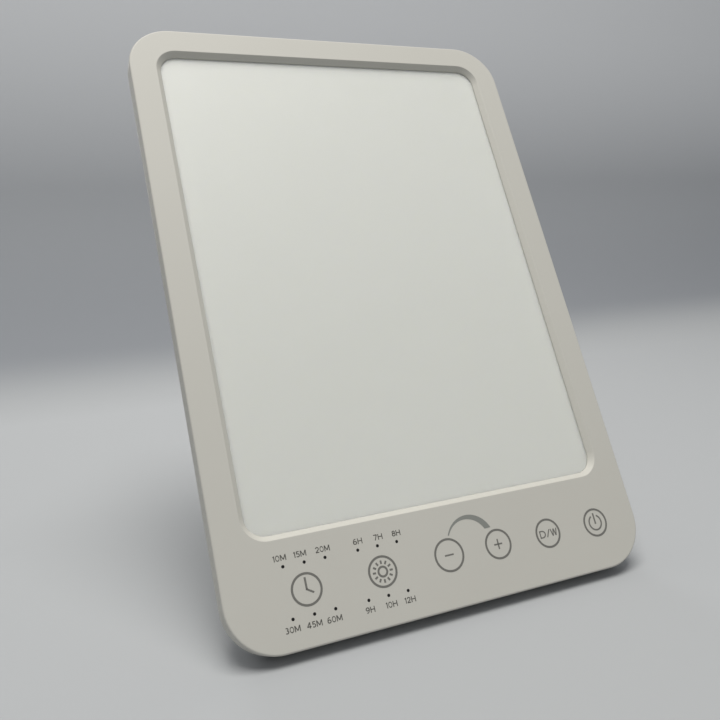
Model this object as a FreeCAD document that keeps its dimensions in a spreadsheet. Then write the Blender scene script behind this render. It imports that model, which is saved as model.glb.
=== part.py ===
import FreeCAD, Part
import math
import os
import re
import Sketcher

# A light therapy lamp of the tablet kind: an edge-lit opal panel in a two-part plastic casing,
# with a strip of printed touch keys below the window, and a leg behind that props it leaning back.
# Row frame: +Z up, the lit face towards -Y, +X to the viewer's right, origin on the table below
# the middle of the lamp. The panel is drawn flat in a frame of its own, x to the right, y up the
# face and z out of the face, with its origin at the middle of the lower edge of the front face.

# Driving sizes in millimetres, and angles in degrees.
SIZES = [
    ("panel_width", 164.0, "across the face"),
    ("panel_height", 236.0, "up the face"),
    ("panel_corner", 17.5, "corner radius of the outline"),
    ("lean", 30.8, "how far the face leans back from upright"),
    ("front_round", 0.7, "rounding of the front edge"),
    ("rear_round", 7.5, "rounding of the rear edge"),
    ("seam_depth", 2.8, "seam between the two casings, behind the face"),
    ("seam_bevel", 0.25, "bevel on each side of the seam"),
    ("face_wall", 2.3, "wall of the face"),
    ("side_wall", 2.0, "wall of the sides"),
    ("rear_wall", 1.6, "wall of the back"),
    ("inner_round", 4.4, "rounding inside the rear edge"),
    ("tongue_wall", 1.2, "locating tongue inside the seam"),
    ("tongue_gap", 0.2, "gap between tongue and side wall"),
    ("tongue_reach", 2.7, "tongue below the wall of the face"),
    ("catch_length", 20.0, "two catches along the top of the tongue"),
    ("catch_offset", 30.0, "from the middle of the panel to a catch"),
    ("catch_rise", 0.7, "catch above the tongue"),
    ("catch_front", 3.6, "catch behind the face"),
    ("catch_width", 0.8, "catch from front to back"),
    ("window_side", 10.0, "frame beside the window"),
    ("window_top", 9.6, "frame above the window"),
    ("window_bottom", 35.2, "control strip below the window"),
    ("window_bevel", 1.75, "width and depth of the bevel round the window"),
    ("window_corner", 6.9, "corner radius at the foot of the bevel"),
    ("window_soft", 0.4, "rounding of the window's edge on the face"),
    ("sheet_corner", 2.0, "corner radius of the sheets behind the window"),
    ("diffuser_lap", 2.3, "diffuser behind the frame"),
    ("diffuser_thickness", 1.5, "opal sheet"),
    ("film_thickness", 0.3, "prism film"),
    ("guide_lap", 3.7, "light guide behind the frame"),
    ("guide_thickness", 2.8, "light guide"),
    ("reflector_thickness", 0.3, "white reflector"),
    ("tray_thickness", 0.6, "sheet metal of the tray"),
    ("tray_gap", 0.5, "between the tray and the pocket for the leg"),
    ("flange_height", 4.2, "side flanges of the tray"),
    ("led_gap", 0.3, "between light guide and its lamps"),
    ("led_depth", 0.7, "lamp off its strip"),
    ("led_length", 3.5, "lamp along its strip"),
    ("led_width", 2.6, "lamp across its strip"),
    ("strip_thickness", 0.8, "lamp strip"),
    ("strip_height", 3.2, "lamp strip across its run"),
    ("strip_bottom", 36.0, "foot of the strips above the lower edge"),
    ("strip_top", 11.5, "strips below the upper edge"),
    ("foam_width", 10.0, "two upright foam bars behind the tray"),
    ("foam_length", 150.0, ""),
    ("foam_foot", 55.0, "foam bars above the lower edge"),
    ("foam_offset", 45.0, "foam bars from the middle"),
    ("board_gap", 2.7, "between the face and the control board"),
    ("board_thickness", 1.2, "control board"),
    ("board_margin", 13.5, "panel edge to board end"),
    ("board_bottom", 7.5, "foot of the board above the lower edge"),
    ("board_top", 32.6, "head of the board above the lower edge"),
    ("key_line", 17.8, "middle of the keys above the lower edge"),
    ("key_radius", 4.2, "conductive pad behind a key"),
    ("clock_key", 27.6, "keys, from the left edge"),
    ("sun_key", 54.8, ""),
    ("minus_key", 80.7, ""),
    ("plus_key", 101.0, ""),
    ("tone_key", 122.7, ""),
    ("power_key", 144.8, ""),
    ("clock_dots", 28.6, "middle dot of each group, from the left edge"),
    ("sun_dots", 55.0, ""),
    ("dot_radius", 0.56, "indicator holes"),
    ("dot_pitch", 7.3, "indicator holes along a row"),
    ("dot_line", 18.15, "half way between the rows, above the lower edge"),
    ("dot_rise", 8.25, "half the distance between the rows"),
    ("pipe_gap", 0.02, "round a light pipe in its hole"),
    ("pipe_sink", 0.08, "light pipes below the face"),
    ("baffle_width", 3.4, "light-tight bars behind the dots"),
    ("baffle_end", 2.4, "bar beyond its end wells"),
    ("baffle_bore", 1.1, "light wells in the bars"),
    ("indicator_length", 1.6, "indicator lamp"),
    ("indicator_width", 0.8, ""),
    ("indicator_height", 0.6, ""),
    ("boss_radius", 2.1, "bosses for the casing screws"),
    ("post_height", 3.2, "rear posts that meet the bosses"),
    ("post_radius", 2.9, ""),
    ("head_depth", 2.4, "counterbores in the back"),
    ("screw_radius", 1.0, "all screws"),
    ("screw_gap", 0.05, "round a screw in its pilot hole"),
    ("way_gap", 0.2, "round a screw or its head in a plain hole"),
    ("head_radius", 1.9, "screw heads"),
    ("head_height", 1.3, ""),
    ("slot_length", 2.1, "cross recess of a screw head"),
    ("slot_width", 0.6, ""),
    ("slot_depth", 0.7, ""),
    ("case_screw_length", 6.0, ""),
    ("board_screw_length", 3.4, ""),
    ("left_screw", 10.9, "outer casing screws, from the nearest side"),
    ("inner_left_screw", 41.5, "inner casing screws, from the left edge"),
    ("inner_right_screw", 112.0, ""),
    ("end_screw_line", 13.5, "outer screws above the lower edge"),
    ("board_boss_radius", 2.0, ""),
    ("first_board_screw", 17.5, "board screws, from the left edge"),
    ("second_board_screw", 69.5, ""),
    ("third_board_screw", 91.0, ""),
    ("fourth_board_screw", 133.8, ""),
    ("board_hole_gap", 0.4, "between a boss and its hole in the board"),
    ("jack_line", 24.0, "power inlet above the lower edge"),
    ("jack_length", 11.5, "inlet housing"),
    ("jack_width", 9.0, ""),
    ("jack_height", 7.4, ""),
    ("jack_setback", 1.0, "inlet behind the side wall"),
    ("jack_bore", 2.85, "inlet for a plug of 5.5 mm"),
    ("jack_bore_depth", 9.5, ""),
    ("jack_pin_radius", 1.0, "centre contact"),
    ("jack_pin_length", 8.0, ""),
    ("inlet_radius", 3.1, "hole in the side wall"),
    ("jack_clearance", 0.7, "between the inlet and the board"),
    ("lead_radius", 0.4, "insulated leads"),
    ("lead_spacing", 1.5, "power leads either side of the inlet's middle"),
    ("lead_run", 8.0, "power leads from the inlet to their pads"),
    ("lead_rise", 3.4, "power leads behind the board"),
    ("lead_inset", 1.6, "strip leads below the head of the board"),
    ("capacitor_radius", 2.5, ""),
    ("capacitor_height", 4.5, ""),
    ("capacitor_line", 26.0, "capacitors above the lower edge"),
    ("hinge_line", 132.0, "hinge of the leg above the lower edge"),
    ("recess_depth", 4.5, "pocket in the back for the folded leg"),
    ("recess_floor", 1.2, "floor of the pocket"),
    ("finger_radius", 8.0, "finger wells beside the folded leg"),
    ("knuckle_radius", 2.1, ""),
    ("knuckle_gap", 0.3, "round the knuckle and the folded leg"),
    ("ear_width", 4.2, "hinge blocks beside the pocket"),
    ("ear_rise", 3.4, "hinge blocks above and below the pin"),
    ("pin_radius", 1.0, "hinge pin"),
    ("pin_gap", 0.02, "pin in the hinge blocks"),
    ("pin_running_gap", 0.05, "pin in the leg"),
    ("leg_width", 34.0, ""),
    ("leg_thickness", 3.8, ""),
    ("leg_length", 121.5, "hinge to the end of the foot pad"),
    ("leg_corner", 5.0, ""),
    ("leg_round", 0.6, "rounding along the leg's edges"),
    ("heel_width", 1.5, "stop on the knuckle"),
    ("heel_length", 24.0, ""),
    ("heel_gap", 0.02, "between stop and pocket when open"),
    ("heel_clearance", 3.4, "hinge to the head of the pocket"),
    ("pad_length", 3.0, "rubber foot pad"),
    ("pad_width", 24.0, ""),
    ("sole_bite", 1.0, "how much of the pad's corner the flat sole takes off"),
    ("tenon_width", 20.0, "pad's tenon in the leg"),
    ("tenon_thickness", 1.2, ""),
    ("tenon_reach", 3.0, ""),
    ("tenon_gap", 0.05, ""),
    ("over", 1.0, "a cutting shape past the end of its cut"),
]
# The larger components on the rear of the board. Each line gives its left end from the left edge of
# the panel, its foot above the lower edge, its length across, its width up and its height.
COMPONENTS = [
    ("left_converter", 25.0, 24.0, 5.0, 4.0, 1.5),
    ("left_coil", 31.0, 23.0, 7.0, 7.0, 3.2),
    ("controller", 55.0, 22.0, 7.0, 7.0, 1.0),
    ("touch_controller", 82.0, 23.0, 5.0, 4.0, 1.0),
    ("input_choke", 104.0, 23.0, 6.0, 6.0, 3.0),
    ("right_converter", 120.5, 24.0, 5.0, 4.0, 1.5),
    ("right_coil", 128.0, 22.0, 7.0, 7.0, 3.2),
]
CAPACITORS = [("left_capacitor", 21.0), ("right_capacitor", 116.5)]
LED_COUNT = 24
BEND_SHARE = 0.45  # of a lead's shorter straight run that its bend takes up
CLOSE = 1e-4
SHEET = "Sizes"
LAYOUT = "Layout"

doc = FreeCAD.newDocument("light_therapy_lamp")
sheet = doc.addObject("Spreadsheet::Sheet", SHEET)
for line, (alias, number, note) in enumerate(SIZES, 1):
    sheet.set("A%d" % line, alias)
    sheet.set("B%d" % line, str(number))
    sheet.set("C%d" % line, note)
    sheet.setAlias("B%d" % line, alias)
doc.recompute()
layout = doc.addObject("App::VarSet", LAYOUT)
SHEET_NAMES = {alias for alias, number, note in SIZES}
LAYOUT_NAMES = set()


def formula(text):
    """Writes the sheet's or the layout's name before each of their values in a formula."""
    def owner(match):
        word = match.group()
        if word in SHEET_NAMES:
            return SHEET + "." + word
        if word in LAYOUT_NAMES:
            return LAYOUT + "." + word
        return word
    return re.sub(r"[a-z_]+", owner, str(text))


def value(text):
    """The present value of a formula."""
    result = sheet.evalExpression(formula(text))
    return float(getattr(result, "Value", result))


def bind(obj, **formulas):
    """Ties properties to formulas. Two underscores in a name stand for a full stop."""
    for name, text in formulas.items():
        obj.setExpression(name.replace("__", "."), formula(text))
    return obj


def layout_value(name, text):
    """Adds a value that is worked out from the driving sizes."""
    layout.addProperty("App::PropertyFloat", name, "Layout")
    layout.setExpression(name, formula(text))
    LAYOUT_NAMES.add(name)
    doc.recompute()


def layout_frame(name, text):
    """Adds a placement that is worked out from the driving sizes."""
    layout.addProperty("App::PropertyPlacement", name, "Layout")
    layout.setExpression(name, formula(text))
    LAYOUT_NAMES.add(name)
    doc.recompute()


# Depths behind the face, from the front of the stack to the back.
layout_value("film_front", "face_wall + diffuser_thickness")
layout_value("guide_front", "film_front + film_thickness")
layout_value("reflector_front", "guide_front + guide_thickness")
layout_value("tray_front", "reflector_front + reflector_thickness")
layout_value("tray_back", "tray_front + tray_thickness")
layout_value("recess_inside", "tray_back + tray_gap")
layout_value("recess_face", "recess_inside + recess_floor")
layout_value("thickness", "recess_face + recess_depth")
layout_value("back_inside", "thickness - rear_wall")
layout_value("boss_end", "back_inside - post_height")
layout_value("board_front", "face_wall + board_gap")
layout_value("board_back", "board_front + board_thickness")

# The window at the foot of its bevel.
layout_value("window_half", "panel_width / 2 - window_side - window_bevel")
layout_value("window_low", "window_bottom + window_bevel")
layout_value("window_high", "panel_height - window_top - window_bevel")
layout_value("window_middle", "(window_low + window_high) / 2")
layout_value("window_rise", "window_high - window_low")
layout_value("guide_half", "window_half + guide_lap")
layout_value("strip_inside", "guide_half + led_gap + led_depth")
layout_value("flange_inside", "strip_inside + strip_thickness")
layout_value("flange_outside", "flange_inside + tray_thickness")
layout_value("strip_rise", "panel_height - strip_top - strip_bottom")
layout_value("strip_middle", "strip_inside + strip_thickness / 2")
layout_value("board_half", "panel_width / 2 - board_margin")
layout_value("right_screw", "panel_width - left_screw")
layout_value("board_middle", "board_front + board_thickness / 2")

# The leg, its hinge and its pocket.
layout_value("hinge_depth", "recess_face + knuckle_gap + knuckle_radius")
layout_value("ear_inside", "leg_width / 2 + knuckle_gap")
layout_value("ear_outside", "ear_inside + ear_width")
layout_value("pocket_low", "hinge_line - leg_length - knuckle_gap")
layout_value("pocket_high", "hinge_line + heel_clearance")
layout_value("finger_line", "hinge_line - leg_length / 2")

# The lamp stands on its rounded lower rear edge and on the flat sole of the leg's pad.
layout_value("lift", "thickness * sin(lean) - rear_round * (cos(lean) + sin(lean) - 1)")
layout_value("front_reach", "front_round * (cos(lean) + sin(lean) - 1)")
rear_arc = "(panel_height - rear_round) * sin(lean) + (thickness - rear_round) * cos(lean)"
layout_value("rear_reach", rear_arc + " + rear_round")
layout_value("setback", "(front_reach + rear_reach) / 2")
layout_value("hinge_height", "lift + hinge_line * cos(lean) - hinge_depth * sin(lean)")
layout_value("sole_radius", "sqrt(leg_length * leg_length + knuckle_radius * knuckle_radius)")
prop = "atan(knuckle_radius / leg_length) + acos((hinge_height + sole_bite) / sole_radius)"
layout_value("prop_angle", "(" + prop + ") / 1 deg")
layout_value("open_angle", "lean + prop_angle")
turn = "rotation(vector(1; 0; 0); %s)"
layout_frame("panel", "placement(vector(0; -setback; lift); " + turn % "90 - lean" + ")")
hinge = "vector(0; hinge_line; -hinge_depth)"
layout_frame("leg", "panel * placement(" + hinge + "; " + turn % "180 + open_angle" + ")")

SUB_PARTS = []


def sub_part(obj, name, frame="panel"):
    """Labels a finished piece and stands it in the row frame."""
    obj.Label = name
    bind(obj, Placement=frame)
    SUB_PARTS.append(obj)
    return obj


# Solid shapes from primitives.
def block(name, x, y, z, length, width, height):
    """A box whose low corner is at x, y, z."""
    obj = doc.addObject("Part::Box", name)
    bind(obj, Length=length, Width=width, Height=height)
    return bind(obj, Placement__Base__x=x, Placement__Base__y=y, Placement__Base__z=z)


def rod(name, radius, length, x, y, z):
    """A cylinder along z that starts at x, y, z."""
    obj = doc.addObject("Part::Cylinder", name)
    bind(obj, Radius=radius, Height=length)
    return bind(obj, Placement__Base__x=x, Placement__Base__y=y, Placement__Base__z=z)


def cross_rod(name, radius, length, x, y, z):
    """A cylinder along x that starts at x, y, z."""
    obj = doc.addObject("Part::Cylinder", name)
    obj.Placement.Rotation = FreeCAD.Rotation(FreeCAD.Vector(0, 1, 0), 90)
    bind(obj, Radius=radius, Height=length)
    return bind(obj, Placement__Base__x=x, Placement__Base__y=y, Placement__Base__z=z)


def union(name, shapes):
    if len(shapes) == 1:
        return shapes[0]
    obj = doc.addObject("Part::MultiFuse", name)
    obj.Shapes = shapes
    return obj


def cut(name, base, tools):
    obj = doc.addObject("Part::Cut", name)
    obj.Base = base
    obj.Tool = union(name + "_tools", tools)
    return obj


def group(name, shapes):
    obj = doc.addObject("Part::Compound", name)
    obj.Links = shapes
    return obj


# Bodies made of sketches.
def new_body(name):
    return doc.addObject("PartDesign::Body", name + "_body")


def new_sketch(body, name, plane="XY_Plane", x=0, y=0, z=0):
    """A sketch on one of the body's own planes, shifted in the plane by x and y and off it by z."""
    sketch = body.newObject("Sketcher::SketchObject", name)
    origin_plane = next(f for f in body.Origin.OriginFeatures if f.Role == plane)
    sketch.AttachmentSupport = [(origin_plane, "")]
    sketch.MapMode = "FlatFace"
    bind(sketch, AttachmentOffset__Base__x=x, AttachmentOffset__Base__y=y, AttachmentOffset__Base__z=z)
    return sketch


def datum(sketch, number, name, text):
    sketch.renameConstraint(number, name)
    bind(sketch, **{"Constraints__" + name: text})


def outline(sketch, prefix, width, height, corner):
    """A rectangle with round corners, centred on the sketch's origin."""
    w, h, r = value(width) / 2, value(height) / 2, value(corner)
    first = sketch.GeometryCount
    vector = FreeCAD.Vector
    ends = [
        (-w + r, -h, w - r, -h),
        (w, -h + r, w, h - r),
        (w - r, h, -w + r, h),
        (-w, h - r, -w, -h + r),
    ]
    middles = [(w - r, -h + r, 270), (w - r, h - r, 0), (-w + r, h - r, 90), (-w + r, -h + r, 180)]
    for (x0, y0, x1, y1), (cx, cy, start) in zip(ends, middles):
        sketch.addGeometry(Part.LineSegment(vector(x0, y0, 0), vector(x1, y1, 0)), False)
        full = Part.Circle(vector(cx, cy, 0), vector(0, 0, 1), r)
        quarter = Part.ArcOfCircle(full, math.radians(start), math.radians(start + 90))
        sketch.addGeometry(quarter, False)
    make = Sketcher.Constraint
    for side in range(4):
        line = first + 2 * side
        arc = line + 1
        following = first + (2 * side + 2) % 8
        sketch.addConstraint(make("Tangent", line, 2, arc, 1))
        sketch.addConstraint(make("Tangent", arc, 2, following, 1))
        sketch.addConstraint(make("Vertical" if side % 2 else "Horizontal", line))
        if side:
            sketch.addConstraint(make("Equal", first + 1, arc))
    sketch.addConstraint(make("Symmetric", first, 1, first + 4, 1, -1, 1))
    datum(sketch, sketch.addConstraint(make("Radius", first + 1, r)), prefix + "_corner", corner)
    across = make("DistanceX", first + 6, 1, first + 2, 1, 2 * w)
    datum(sketch, sketch.addConstraint(across), prefix + "_width", width)
    up = make("DistanceY", first, 1, first + 4, 1, 2 * h)
    datum(sketch, sketch.addConstraint(up), prefix + "_height", height)


def circle(sketch, prefix, x, y, radius):
    """A circle whose middle is at x, y from the sketch's origin."""
    centre = FreeCAD.Vector(value(x), value(y), 0)
    number = sketch.addGeometry(Part.Circle(centre, FreeCAD.Vector(0, 0, 1), value(radius)), False)
    make = Sketcher.Constraint
    size = make("Radius", number, value(radius))
    datum(sketch, sketch.addConstraint(size), prefix + "_radius", radius)
    for axis, text, at in (("DistanceX", x, centre.x), ("DistanceY", y, centre.y)):
        if text == 0:
            sketch.addConstraint(make("PointOnObject", number, 3, -2 if axis == "DistanceX" else -1))
        else:
            place = make(axis, -1, 1, number, 3, at)
            name = prefix + ("_x" if axis == "DistanceX" else "_y")
            datum(sketch, sketch.addConstraint(place), name, text)


def polygon(sketch, points):
    """A closed outline of straight lines whose corners are pairs of formulas."""
    spots = [FreeCAD.Vector(value(x), value(y), 0) for x, y in points]
    for number, spot in enumerate(spots):
        sketch.addGeometry(Part.LineSegment(spot, spots[(number + 1) % len(spots)]), False)
    make = Sketcher.Constraint
    for number, (x, y) in enumerate(points):
        previous = (number - 1) % len(points)
        sketch.addConstraint(make("Coincident", previous, 2, number, 1))
        for axis, text in (("DistanceX", x), ("DistanceY", y)):
            if text == 0:
                sketch.addConstraint(make("PointOnObject", number, 1, -2 if axis == "DistanceX" else -1))
            else:
                place = make(axis, -1, 1, number, 1, value(text))
                name = "corner_%d_%s" % (number, "x" if axis == "DistanceX" else "y")
                datum(sketch, sketch.addConstraint(place), name, text)


def inset_outline(sketch, prefix, inset):
    """The outline of the panel, moved inwards."""
    less = " - 2 * " + inset
    outline(sketch, prefix, "panel_width" + less, "panel_height" + less, "panel_corner - " + inset)


def rectangle(sketch, left, low, right, high):
    polygon(sketch, [(left, low), (right, low), (right, high), (left, high)])


def pad(body, sketch, length, reverse=False, both_ways=False):
    feature = body.newObject("PartDesign::Pad", sketch.Name + "_pad")
    feature.Profile = sketch
    feature.Reversed = reverse
    feature.Midplane = both_ways
    bind(feature, Length=length)
    doc.recompute()
    return feature


def pocket(body, sketch, length, reverse=False, both_ways=False):
    feature = body.newObject("PartDesign::Pocket", sketch.Name + "_pocket")
    feature.Profile = sketch
    feature.Reversed = reverse
    feature.Midplane = both_ways
    bind(feature, Length=length)
    before = feature.BaseFeature.Shape.Volume
    doc.recompute()
    if feature.Shape.Volume > before - CLOSE:
        raise RuntimeError(feature.Name + " cuts nothing")
    return feature


def edges_where(feature, test):
    return ["Edge%d" % number for number, edge in enumerate(feature.Shape.Edges, 1) if test(edge)]


def at_depth(edge, depth):
    """Does an edge lie flat at this depth behind the face?"""
    box = edge.BoundBox
    return abs(box.ZMin + depth) < CLOSE and abs(box.ZMax + depth) < CLOSE


def inside_window(edge, margin):
    """Does an edge lie within the window and a margin round it?"""
    box = edge.BoundBox
    reach = value(margin) + CLOSE
    half = value("window_half") + reach
    low = value("window_low") - reach
    high = value("window_high") + reach
    return -half < box.XMin and box.XMax < half and low < box.YMin and box.YMax < high


def fillet(body, feature, names, radius):
    result = body.newObject("PartDesign::Fillet", feature.Name + "_round")
    result.Base = (feature, names)
    bind(result, Radius=radius)
    doc.recompute()
    return result


def chamfer(body, feature, names, size):
    result = body.newObject("PartDesign::Chamfer", feature.Name + "_bevel")
    result.Base = (feature, names)
    bind(result, Size=size)
    doc.recompute()
    return result


def from_left(name):
    """A key, dot or screw that is measured from the left edge."""
    return name + " - panel_width / 2"


CATCHES = [("left_catch", "-catch_offset"), ("right_catch", "catch_offset")]
KEYS = ["clock_key", "sun_key", "minus_key", "plus_key", "tone_key", "power_key"]
CASE_SCREWS = [
    ("left_screw", "end_screw_line"),
    ("inner_left_screw", "key_line"),
    ("inner_right_screw", "key_line"),
    ("right_screw", "end_screw_line"),
]
BOARD_SCREWS = ["first_board_screw", "second_board_screw", "third_board_screw", "fourth_board_screw"]
DOTS = [
    (from_left(dots) + " + %d * dot_pitch" % step, "dot_line + %d * dot_rise" % side)
    for dots in ("clock_dots", "sun_dots")
    for side in (1, -1)
    for step in (-1, 0, 1)
]


def case_screw_circles(sketch, radius):
    for number, (across, up) in enumerate(CASE_SCREWS):
        circle(sketch, "screw_%d" % number, from_left(across), up, radius)


def board_screw_circles(sketch, radius):
    for number, across in enumerate(BOARD_SCREWS):
        circle(sketch, "board_screw_%d" % number, from_left(across), "key_line", radius)


def front_bezel():
    """The frame round the window: face wall, short skirt down to the seam, tongue and screw bosses."""
    body = new_body("front_bezel")
    face = new_sketch(body, "bezel_outline", y="panel_height / 2")
    outline(face, "outer", "panel_width", "panel_height", "panel_corner")
    slab = pad(body, face, "seam_depth", reverse=True)
    front_edges = edges_where(slab, lambda edge: at_depth(edge, 0))
    rounded = fillet(body, slab, front_edges, "front_round")
    rear_edges = edges_where(rounded, lambda edge: at_depth(edge, value("seam_depth")))
    chamfer(body, rounded, rear_edges, "seam_bevel")

    hollow = new_sketch(body, "bezel_hollow", y="panel_height / 2", z="-seam_depth")
    skirt = "(side_wall + tongue_gap)"
    inset_outline(hollow, "hollow", skirt)
    pocket(body, hollow, "seam_depth - face_wall", reverse=True)

    opening = new_sketch(body, "window_opening", y="window_middle")
    outline(opening, "window", "2 * window_half", "window_rise", "window_corner")
    opened = pocket(body, opening, "face_wall")
    window_edges = edges_where(opened, lambda edge: at_depth(edge, 0) and inside_window(edge, 0))
    bevelled = chamfer(body, opened, window_edges, "window_bevel")
    rim = edges_where(bevelled, lambda edge: at_depth(edge, 0) and inside_window(edge, "window_bevel"))
    fillet(body, bevelled, rim, "window_soft")

    ring = new_sketch(body, "tongue_ring", y="panel_height / 2", z="-face_wall")
    inset_outline(ring, "outside", skirt)
    inner = "(side_wall + tongue_gap + tongue_wall)"
    inset_outline(ring, "inside", inner)
    pad(body, ring, "tongue_reach", reverse=True)
    for name, middle in CATCHES:
        ridge = new_sketch(body, name + "_ridge", x=middle, z="-catch_front")
        low = "panel_height - " + inner
        high = "panel_height - side_wall - tongue_gap + catch_rise"
        rectangle(ridge, "-catch_length / 2", low, "catch_length / 2", high)
        pad(body, ridge, "catch_width", reverse=True)
    gap = new_sketch(body, "jack_notch", z="-face_wall")
    low = "jack_line - jack_width / 2 - jack_clearance"
    high = "jack_line + jack_width / 2 + jack_clearance"
    left = "panel_width / 2 - " + inner + " - tongue_gap"
    right = "panel_width / 2 - side_wall - tongue_gap"
    rectangle(gap, left, low, right, high)
    pocket(body, gap, "tongue_reach")

    bosses = new_sketch(body, "case_bosses", z="-face_wall")
    case_screw_circles(bosses, "boss_radius")
    pad(body, bosses, "boss_end - face_wall", reverse=True)
    pilots = new_sketch(body, "case_pilots", z="-boss_end")
    case_screw_circles(pilots, "screw_radius + screw_gap")
    pocket(body, pilots, "case_screw_length - post_height + head_depth", reverse=True)
    seats = new_sketch(body, "board_bosses", z="-face_wall")
    board_screw_circles(seats, "board_boss_radius")
    pad(body, seats, "board_gap", reverse=True)
    tappings = new_sketch(body, "board_pilots", z="-board_front")
    board_screw_circles(tappings, "screw_radius + screw_gap")
    pocket(body, tappings, "board_screw_length - board_thickness + screw_gap", reverse=True)

    dots = new_sketch(body, "indicator_holes")
    for number, (across, up) in enumerate(DOTS):
        circle(dots, "dot_%d" % number, across, up, "dot_radius")
    pocket(body, dots, "face_wall")
    sub_part(body, "front_bezel")


def rear_cover():
    """The back shell, with the pocket and hinge of the leg, screw posts and the hole for the plug."""
    body = new_body("rear_cover")
    back = new_sketch(body, "cover_outline", y="panel_height / 2", z="-seam_depth")
    outline(back, "outer", "panel_width", "panel_height", "panel_corner")
    slab = pad(body, back, "thickness - seam_depth", reverse=True)
    seam_edges = edges_where(slab, lambda edge: at_depth(edge, value("seam_depth")))
    chamfer(body, slab, seam_edges, "seam_bevel")

    hollow = new_sketch(body, "cover_hollow", y="panel_height / 2", z="-seam_depth")
    inset_outline(hollow, "inner", "side_wall")
    hollowed = pocket(body, hollow, "back_inside - seam_depth")
    floor_edges = edges_where(hollowed, lambda edge: at_depth(edge, value("back_inside")))
    eased = fillet(body, hollowed, floor_edges, "inner_round")
    rear_edges = edges_where(eased, lambda edge: at_depth(edge, value("thickness")))
    fillet(body, eased, rear_edges, "rear_round")
    for name, middle in CATCHES:
        groove = new_sketch(body, name + "_groove", x=middle, z="-catch_front + tongue_gap")
        half = "(catch_length / 2 + tongue_gap)"
        low = "panel_height - side_wall - tongue_gap"
        rectangle(groove, "-" + half, low, half, "panel_height - side_wall + catch_rise")
        pocket(body, groove, "catch_width + 2 * tongue_gap")

    platform = new_sketch(body, "pocket_platform", z="-back_inside")
    wide = "(ear_inside + rear_wall)"
    rectangle(platform, "-" + wide, "pocket_low - rear_wall", wide, "pocket_high + rear_wall")
    pad(body, platform, "back_inside - recess_inside")
    for side, sign in (("left", "-"), ("right", "")):
        rise = new_sketch(body, side + "_finger_platform", z="-back_inside")
        circle(rise, "well", sign + "ear_inside", "finger_line", "finger_radius + rear_wall")
        pad(body, rise, "back_inside - recess_inside")
        block_sketch = new_sketch(body, side + "_hinge_block", z="-back_inside")
        ends = sorted([sign + "ear_inside", sign + "ear_outside"], key=value)
        rectangle(block_sketch, ends[0], "hinge_line - ear_rise", ends[1], "hinge_line + ear_rise")
        pad(body, block_sketch, "back_inside - recess_inside")
    recess = new_sketch(body, "leg_pocket", z="-thickness")
    rectangle(recess, "-ear_inside", "pocket_low", "ear_inside", "pocket_high")
    pocket(body, recess, "recess_depth", reverse=True)
    for side, sign in (("left", "-"), ("right", "")):
        well = new_sketch(body, side + "_finger_well", z="-thickness")
        circle(well, "well", sign + "ear_inside", "finger_line", "finger_radius")
        pocket(body, well, "recess_depth", reverse=True)
    axle = new_sketch(body, "pin_hole", plane="YZ_Plane")
    circle(axle, "axle", "hinge_line", "-hinge_depth", "pin_radius + pin_gap")
    pocket(body, axle, "2 * ear_outside", both_ways=True)

    posts = new_sketch(body, "screw_posts", z="-back_inside")
    case_screw_circles(posts, "post_radius")
    pad(body, posts, "post_height")
    heads = new_sketch(body, "screw_heads", z="-thickness")
    case_screw_circles(heads, "head_radius + way_gap")
    pocket(body, heads, "head_depth", reverse=True)
    ways = new_sketch(body, "screw_ways", z="-boss_end")
    case_screw_circles(ways, "screw_radius + way_gap")
    pocket(body, ways, "thickness - boss_end")

    seat = new_sketch(body, "jack_seat", z="-back_inside")
    right = "panel_width / 2 - side_wall - jack_setback"
    low, high = "jack_line - jack_width / 2", "jack_line + jack_width / 2"
    rectangle(seat, right + " - jack_length", low, right, high)
    pad(body, seat, "back_inside - thickness / 2 - jack_height / 2")
    inlet = new_sketch(body, "inlet_hole", plane="YZ_Plane", z="panel_width / 2")
    circle(inlet, "inlet", "jack_line", "-thickness / 2", "inlet_radius")
    pocket(body, inlet, "side_wall + jack_setback")
    sub_part(body, "rear_cover")


def sheet_stack():
    """The flat sheets behind the window, front to back."""
    layers = [
        ("diffuser_sheet", "diffuser_lap", "face_wall", "diffuser_thickness"),
        ("prism_film", "guide_lap", "film_front", "film_thickness"),
        ("light_guide", "guide_lap", "guide_front", "guide_thickness"),
        ("reflector_sheet", "guide_lap", "reflector_front", "reflector_thickness"),
    ]
    for name, lap, front, thick in layers:
        body = new_body(name)
        shape = new_sketch(body, name + "_outline", y="window_middle", z="-" + front)
        outline(shape, "sheet", "2 * (window_half + %s)" % lap, "window_rise + 2 * " + lap, "sheet_corner")
        pad(body, shape, thick, reverse=True)
        sub_part(body, name)


def back_tray():
    """A sheet metal tray whose side flanges carry the lamp strips and take their heat."""
    low, rise = "window_low - guide_lap", "window_rise + 2 * guide_lap"
    floor = block("tray_floor", "-flange_outside", low, "-tray_back", "2 * flange_outside", rise,
                  "tray_thickness")
    flanges = [
        block(name, across, "strip_bottom", "-tray_back", "tray_thickness", "strip_rise",
              "flange_height + tray_thickness")
        for name, across in (("left_flange", "-flange_outside"), ("right_flange", "flange_inside"))
    ]
    sub_part(union("tray_solid", [floor] + flanges), "back_tray")


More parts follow.
